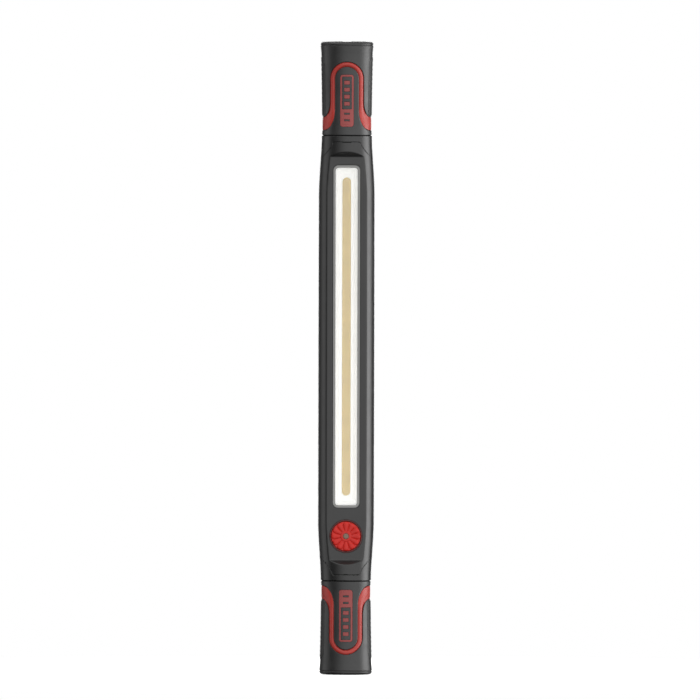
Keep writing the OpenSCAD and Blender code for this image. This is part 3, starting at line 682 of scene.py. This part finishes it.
bezel_rings = [
    (LENS_X, LENS_Z, 2, -TRAY_Y), (LENS_X, LENS_Z, 2, -FACET_Y - 0.15),
    (WINDOW_W / 2, WINDOW_LEN / 2, 3.4, -FACET_Y - 0.15), (WINDOW_W / 2, WINDOW_LEN / 2, 3.4, -INNER_Y),
    (WINDOW_W / 2 + 1, WINDOW_LEN / 2 + 1, 2, -INNER_Y), (WINDOW_W / 2 + 1, WINDOW_LEN / 2 + 1, 2, -TRAY_Y)]
part("window_bezel", *loft(bezel_rings, closed=True), BEZEL, shift=MIDDLE, bevel=0.22)

lens_rings = [(LENS_X - 0.04, LENS_Z - 0.04, 1.96, y) for y in (-FACET_Y + 0.3, -INNER_Y - 0.3)]
part("window_lens", *loft(lens_rings), LENS, shift=MIDDLE, bevel=0.25)

tray_rings = [
    (WINDOW_W / 2 + 0.75, WINDOW_LEN / 2 + 0.75, 2, -BOARD_Y),
    (WINDOW_W / 2 + 0.75, WINDOW_LEN / 2 + 0.75, 2, -TRAY_Y),
    (LENS_X - 0.06, LENS_Z - 0.06, 2, -TRAY_Y), (LENS_X - 0.06, LENS_Z - 0.06, 2, -INNER_Y - 0.26),
    (LENS_X - 0.65, LENS_Z - 0.65, 1.6, -INNER_Y - 0.26), (STRIP_X + 1.7, LENS_Z - 3.0, 0.9, -BOARD_Y - 0.5),
    (STRIP_X + 0.1, STRIP_Z + 0.1, STRIP_X, -BOARD_Y - 0.5), (STRIP_X + 0.1, STRIP_Z + 0.1, STRIP_X, -BOARD_Y)]
part("reflector_tray", *loft(tray_rings, closed=True), TRAY_PAINTED_GLOW, shift=MIDDLE, bevel=0.12)

strip_rings = [(STRIP_X, STRIP_Z, STRIP_X - 0.01, -BOARD_Y)]
for step in range(7):
    a = math.pi / 2 * step / 6
    inset = 1.9 * (1 - math.cos(a))
    y = -BOARD_Y - 0.2 - 0.34 * math.sin(a)
    strip_rings.append((STRIP_X - inset, STRIP_Z - inset, STRIP_X - inset - 0.01, y))
part("led_strip", *loft(strip_rings), PHOSPHOR, shift=MIDDLE)


# ---------------------------------------------------------------- the button

CAP_Y = FACET_Y + 1.1


def round_cone(along, across, r1, r2, length):
    """The outline of two circles and their tangents."""
    b = (r1 - r2) / length
    a = math.sqrt(1 - b * b)
    k = -b * across + a * along
    middle = a * across + b * along - r1
    return np.where(k < 0, np.hypot(across, along) - r1,
                    np.where(k > a * length, np.hypot(across, along - length) - r2, middle))


def button_field(x, y, z):
    v = z - BUTTON_Z
    rho = np.hypot(x, v)
    turn = 2 * math.pi / PETALS
    angle = np.arctan2(x, v)
    angle = angle - turn * np.round(angle / turn)
    out, side = rho * np.cos(angle), rho * np.sin(angle)
    flat = 0.42
    depth = (y + CAP_Y - 0.86) / flat
    petal = round_cone(out - 2.6, np.hypot(side, depth), 0.75, 1.74, 4.95) * flat
    base = near_and(rho - BUTTON_R + 0.15, -CAP_Y + 0.95 - y, 0.3)
    hub = near_and(rho - 3.3, -CAP_Y + 0.12 - y, 0.3)
    cap = near_or(near_or(base, petal, 0.12), hub, 0.25)
    cap = np.maximum(cap, y + INNER_Y - 0.3)
    flange = np.maximum(rho - BUTTON_R - 0.6, np.maximum(-INNER_Y + 0.2 - y, y + INNER_Y - 0.9))
    hollow = np.maximum(rho - BUTTON_R + 1.2, -11.6 - y)
    stem = np.maximum(np.hypot(x, v + 5.5) - 1.8, y + 9.9)
    cap = np.maximum(np.minimum(cap, flange), -hollow)
    cap = np.minimum(cap, np.maximum(stem, -11.8 - y))
    return 0.9 * minus(cap, rho - 1.9, 0.2)


add_field("power_button", BUTTON_RED, button_field, (-10.2, -CAP_Y - 0.1, BUTTON_Z - 10.2),
          (10.2, -9.5, BUTTON_Z + 10.2), 0.15)

ring = (0, 0, BUTTON_Z)
seal_rings = [(r, r, r - 1e-3, y) for r, y in (
    (HOLE_R, -FACET_Y + 0.7), (HOLE_R, -FACET_Y - 0.35), (SEAL_R, -FACET_Y - 0.35), (SEAL_R, -FACET_Y + 0.7))]
part("button_seal", *loft(seal_rings, closed=True), SEAL_RED_PAINTED_SHADE, shift=ring, bevel=0.3)
pipe_rings = [(r, r, r - 1e-3, y) for r, y in (
    (1.85, -9.6), (1.85, -11), (2.6, -11), (2.6, -11.6), (1.85, -11.6), (1.85, -CAP_Y + 0.2),
    (1.5, -CAP_Y + 0.08), (0.8, -CAP_Y + 0.05))]
part("button_light_pipe", *loft(pipe_rings), PIPE, shift=ring)


# ---------------------------------------------------------------- the grips, drawn for the bottom, turned for the top

GRIP_PARTS = [
    ("grip_core", BAND_RED, core_field, ([-16.5, -16.5, 8], [16.5, 16.5, GRIP_TOP]), 0.34),
    ("grip_sleeve", RUBBER, sleeve_field, ([-16.8, -16.8, 6], [16.8, 16.8, GRIP_TOP]), 0.26),
    ("grip_collar", RUBBER, collar_field, ([-16.8, -16.8, 8], [16.8, 16.8, GRIP_TOP]), 0.26),
    ("grip_pads", PAD_RUBBER, pads_field, ([-16.9, -8.2, 9], [16.9, 8.2, 52.2]), 0.2),
    ("grip_badge", BADGE_RED, badge_field, ([-4.5, -16.4, 20], [4.5, -14.5, 55]), 0.14),
    ("bumper", BUMPER, bumper_field, ([-17, -17, 0], [17, 17, 8.2]), 0.2),
    ("end_cap", PIVOT, end_cap_field, ([-13.5, -13.5, 0.4], [13.5, 13.5, 8.3]), 0.22),
    ("hook", BLACK_STEEL, hook_field, ([-8.7, 9, 8.5], [8.7, 14, 50]), 0.2)]

for tail, material, field, (low, high), voxel in GRIP_PARTS:
    points, normals, faces = field_mesh(field, low, high, voxel)
    part("bottom_" + tail, points, faces, material, normals)
    turned = np.array([-1, 1, -1])
    part("top_" + tail, points * turned + np.array([0, 0, TOTAL]), faces, material, normals * turned)

for node, shape in frame["nodes"].items():
    if shape.hide_render:
        continue
    shape.data.materials.clear()
    shape.data.materials.append(BY_SLOT[SLOTS[node]])


# ---------------------------------------------------------------- floor, light and camera

floor_mesh = bpy.data.meshes.new("floor")
sides, floor_r = 96, 0.42
rim = [(floor_r * math.cos(2 * math.pi * i / sides), floor_r * math.sin(2 * math.pi * i / sides), -0.0002)
       for i in range(sides)]
floor_mesh.from_pydata(rim, [], [tuple(range(sides))])
floor = bpy.data.objects.new("floor", floor_mesh)
bpy.context.scene.collection.objects.link(floor)
floor_mesh.materials.append(finish("pale floor", "e8e8e6", 0.8, vary=0.01, Emission_Color=(1, 1, 1, 1),
                                   Emission_Strength=0.8))
floor.visible_glossy = False
floor.visible_diffuse = False

# the studio, by azimuth (degrees, 0 in front, + to the right) and by height: a wide front light that goes on at the
# back, two upright strips at the sides and a high soft light
FRONT = [(-180, 0.75), (-170, 0.75), (-160, 0.02), (-60, 0.01), (-50, 0.03), (-38, 0.10), (-23, 0.20),
         (-5, 0.30), (20, 0.32), (50, 0.31), (66, 0.26), (78, 0.10), (86, 0.0), (150, 0.01), (160, 0.02),
         (170, 0.75), (180, 0.75)]
FRONT_HEIGHT = [(-90, 0.06), (-45, 0.10), (-26, 0.75), (-14, 1.0), (26, 1.0), (40, 0.40), (55, 0.22), (90, 0.10)]
STRIPS = [(-180, 0.0), (-130, 0.0), (-118, 0.12), (-112, 0.17), (-95, 0.19), (-86, 0.13), (-78, 0.0), (70, 0.0),
          (77, 0.18), (85, 0.75), (92, 0.88), (108, 0.88), (116, 0.66), (124, 0.10), (130, 0.0), (180, 0.0)]
STRIP_HEIGHT = [(-90, 0.0), (-32, 0.0), (-18, 1.0), (18, 1.0), (32, 0.0), (90, 0.0)]
OVERHEAD = [(-180, 0.04), (-150, 0.04), (-100, 0.40), (-20, 0.40), (40, 0.16), (90, 0.10), (150, 0.04), (180, 0.04)]
OVERHEAD_HEIGHT = [(-90, 0.0), (34, 0.0), (44, 1.0), (64, 1.0), (74, 0.1), (90, 0.0)]
STUDIO = 5.0


def ramp(n, value, stops, low, high):
    node = n.add("ShaderNodeValToRGB", Fac=n.math("DIVIDE", n.math("SUBTRACT", value, low), high - low))
    elements = node.color_ramp.elements
    node.color_ramp.interpolation = "LINEAR"
    while len(elements) < len(stops):
        elements.new(0.5)
    for element, (at, level) in zip(elements, stops):
        element.position = (at - low) / (high - low)
        element.color = (level, level, level, 1)
    return node.outputs[0]


world = bpy.data.worlds.new("studio")
bpy.context.scene.world = world
world.use_nodes = True
world.node_tree.nodes.clear()
n = Nodes(world.node_tree)
way = n.add("ShaderNodeSeparateXYZ", Vector=n.add("ShaderNodeTexCoord").outputs["Generated"]).outputs
around = n.math("MULTIPLY", n.math("ARCTAN2", way[0], n.math("MULTIPLY", way[1], -1.0)), 180 / math.pi)
height = n.math("MULTIPLY", n.math("ARCSINE", way[2]), 180 / math.pi)
front = n.math("MULTIPLY", ramp(n, around, FRONT, -180, 180), ramp(n, height, FRONT_HEIGHT, -90, 90))
strips = n.math("MULTIPLY", ramp(n, around, STRIPS, -180, 180), ramp(n, height, STRIP_HEIGHT, -90, 90))
overhead = n.math("MULTIPLY", ramp(n, around, OVERHEAD, -180, 180), ramp(n, height, OVERHEAD_HEIGHT, -90, 90))
level = n.math("ADD", n.math("ADD", front, strips), overhead)
lit = n.add("ShaderNodeBackground", Color=(1, 1, 1, 1), Strength=n.math("MULTIPLY", level, STUDIO))
backdrop = n.add("ShaderNodeBackground", Color=(1, 1, 1, 1), Strength=1.0)
seen = n.add("ShaderNodeLightPath").outputs["Is Camera Ray"]
both = n.add("ShaderNodeMixShader", i0=seen, i1=lit.outputs[0], i2=backdrop.outputs[0])
n.add("ShaderNodeOutputWorld", Surface=both.outputs[0])

bpy.context.scene.view_settings.view_transform = "Standard"
bpy.context.scene.view_settings.look = "None"

# the camera looks slightly down at the lamp's middle from far away
DISTANCE, LENS_MM, SENSOR = 20, 1607.6, 36
AIM, RISE, ROLL = (0.00233, 0, 0.2076), math.radians(1.0), math.radians(-0.136)
camera_data = bpy.data.cameras.new("camera")
camera_data.lens, camera_data.sensor_width = LENS_MM, SENSOR
camera_data.clip_start, camera_data.clip_end = 1, 60
camera = bpy.data.objects.new("camera", camera_data)
camera.location = (AIM[0], AIM[1] - DISTANCE * math.cos(RISE), AIM[2] + DISTANCE * math.sin(RISE))
camera.rotation_euler = (math.pi / 2 - RISE, ROLL, -ROLL * math.sin(RISE))
bpy.context.scene.collection.objects.link(camera)
bpy.context.scene.camera = camera
